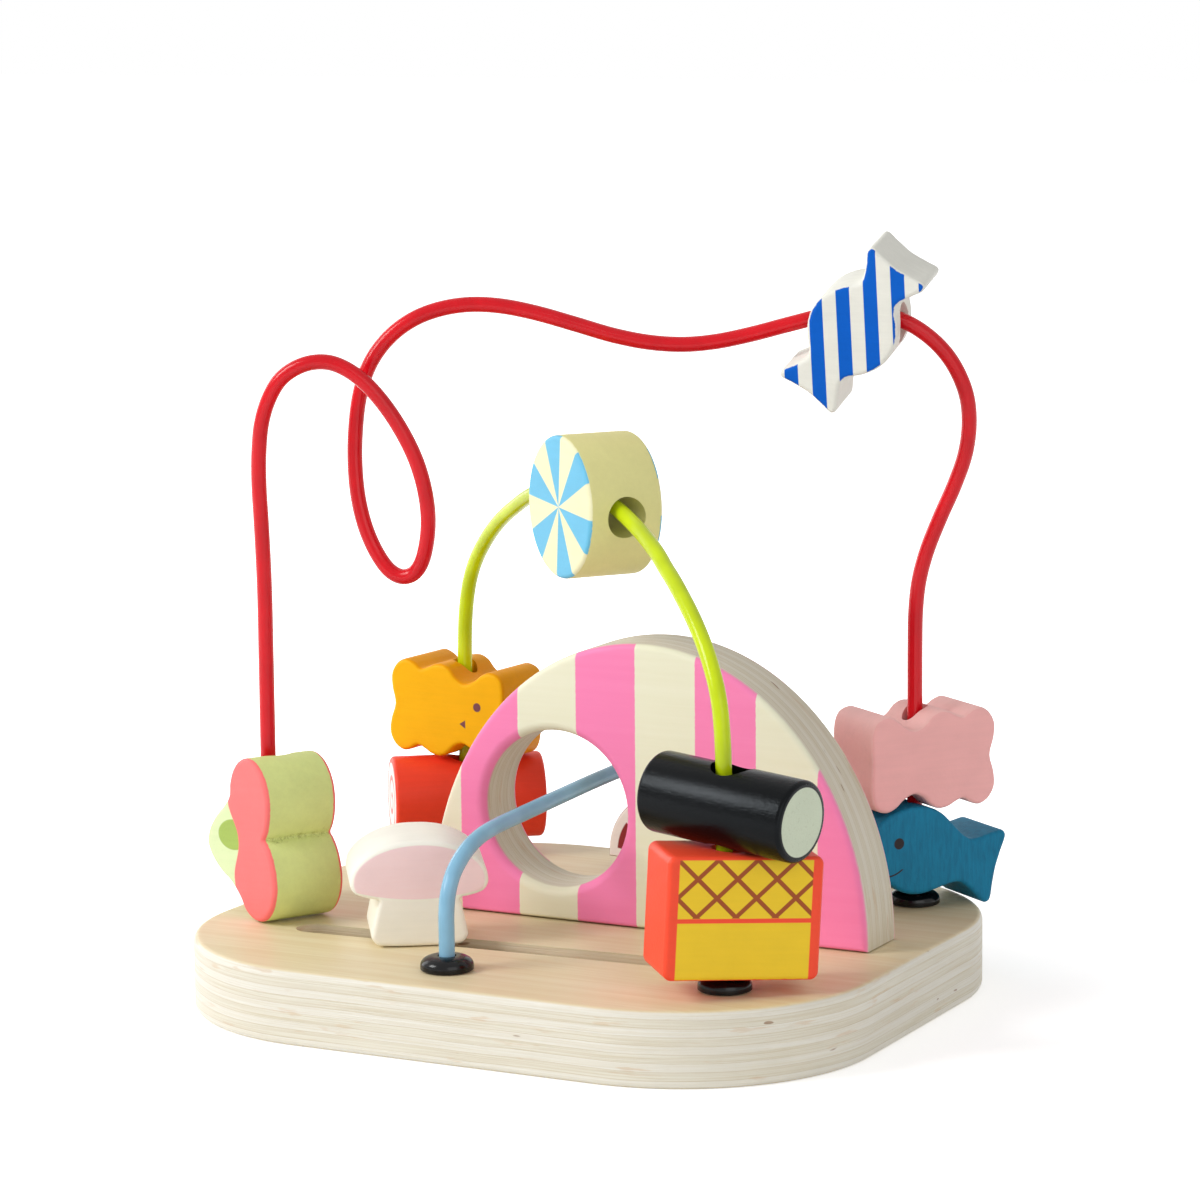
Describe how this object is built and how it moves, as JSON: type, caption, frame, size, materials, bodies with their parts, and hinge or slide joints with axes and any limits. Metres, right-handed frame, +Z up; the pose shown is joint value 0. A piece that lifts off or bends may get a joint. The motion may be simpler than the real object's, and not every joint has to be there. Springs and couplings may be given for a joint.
{
  "type": "wooden bead frame",
  "caption": "Low plywood base with an upright half-round board and bent rods that carry loose sweet-shaped wooden beads, plus a slider in a groove.",
  "frame": {"origin": "middle of the base board's underside", "axes": "+X along the front edge to the right, +Y to the back, +Z up"},
  "size_m": [0.1814, 0.154, 0.185],
  "materials": {
    "birch_ply": "clear satin lacquer, pale laminated edge",
    "striped_ply": "printed pink and cream stripes, matt lacquer",
    "cherry_paint": "matt paint, printed faces",
    "candy_paint": "matt paint, printed blue stripes",
    "pink_paint": "matt paint",
    "blue_stain": "stained, grain showing",
    "orange_paint": "satin paint",
    "red_paint": "satin paint",
    "black_paint": "satin paint",
    "box_paint": "satin paint, printed face",
    "peppermint_paint": "matt paint, printed faces",
    "jelly_paint": "satin paint",
    "toadstool_paint": "matt paint, printed face",
    "plain_dowel": "bare wood",
    "red_coating": "smooth coating over bent steel rod",
    "lime_coating": "smooth coating over bent steel rod",
    "blue_coating": "smooth coating over bent steel rod",
    "black_collar": "glossy",
    "zinc_screw": "zinc plated"
  },
  "bodies": {
    "frame": {"base_board": "birch_ply", "arch_board": "striped_ply", "arch_screw_1": "zinc_screw", "arch_screw_2": "zinc_screw", "red_wire": "red_coating", "lime_wire": "lime_coating", "blue_wire": "blue_coating", "collar_red_right": "black_collar", "collar_lime_rear": "black_collar", "collar_lime_front": "black_collar", "collar_blue_front": "black_collar", "collar_blue_rear": "black_collar"},
    "cherry": {"cherry_bead": "cherry_paint"},
    "candy": {"candy_bead": "candy_paint"},
    "fish": {"fish_bead": "blue_stain"},
    "pink_bear": {"pink_bear_bead": "pink_paint"},
    "red_roll": {"red_roll_bead": "red_paint"},
    "orange_bear": {"orange_bear_bead": "orange_paint"},
    "peppermint": {"peppermint_bead": "peppermint_paint"},
    "waffle_box": {"waffle_box_bead": "box_paint"},
    "liquorice": {"liquorice_bead": "black_paint"},
    "jelly_dome": {"jelly_dome_bead": "jelly_paint"},
    "runner": {"groove_runner": "plain_dowel"},
    "toadstool": {"toadstool_slider": "toadstool_paint"}
  },
  "joints": [
    {"name": "cherry_slide", "type": "slide", "parent": "frame", "child": "cherry", "axis": [0, 0, 1], "range_m": [0, 0.065]},
    {"name": "candy_rock", "type": "hinge", "parent": "frame", "child": "candy", "pos_m": [0.05598, 0.03567, 0.1658], "axis": [0.9781, 0.2079, 0], "range_deg": [-45, 70]},
    {"name": "fish_spin", "type": "hinge", "parent": "frame", "child": "fish", "pos_m": [0.0646, 0.0499, 0.018], "axis": [0, 0, 1], "range_deg": [-180, 180]},
    {"name": "pink_bear_slide", "type": "slide", "parent": "fish", "child": "pink_bear", "axis": [0, 0, 1], "range_m": [0, 0.014]},
    {"name": "red_roll_spin", "type": "hinge", "parent": "frame", "child": "red_roll", "pos_m": [-0.0653, 0.0555, 0.018], "axis": [0, 0, 1], "range_deg": [-180, 180]},
    {"name": "orange_bear_slide", "type": "slide", "parent": "frame", "child": "orange_bear", "axis": [0, 0, 1], "range_m": [0, 0.012]},
    {"name": "peppermint_travel", "type": "hinge", "parent": "frame", "child": "peppermint", "pos_m": [-0.00278, 0.00304, 0.0156], "axis": [0.6428, 0.7661, 0], "range_deg": [-19, 11]},
    {"name": "waffle_box_spin", "type": "hinge", "parent": "frame", "child": "waffle_box", "pos_m": [0.0602, -0.0498, 0.018], "axis": [0, 0, 1], "range_deg": [-180, 180]},
    {"name": "liquorice_slide", "type": "slide", "parent": "waffle_box", "child": "liquorice", "axis": [0, 0, 1], "range_m": [0, 0.0065]},
    {"name": "jelly_dome_spin", "type": "hinge", "parent": "frame", "child": "jelly_dome", "pos_m": [-0.0045, 0.058, 0.018], "axis": [0, 0, 1], "range_deg": [-180, 180]},
    {"name": "toadstool_slide", "type": "slide", "parent": "frame", "child": "runner", "axis": [0.9986, 0.0523, 0], "range_m": [-0.006, 0.0465]},
    {"name": "toadstool_spin", "type": "hinge", "parent": "runner", "child": "toadstool", "pos_m": [-0.02877, -0.03531, 0.018], "axis": [0, 0, 1], "range_deg": [-180, 180]}
  ]
}
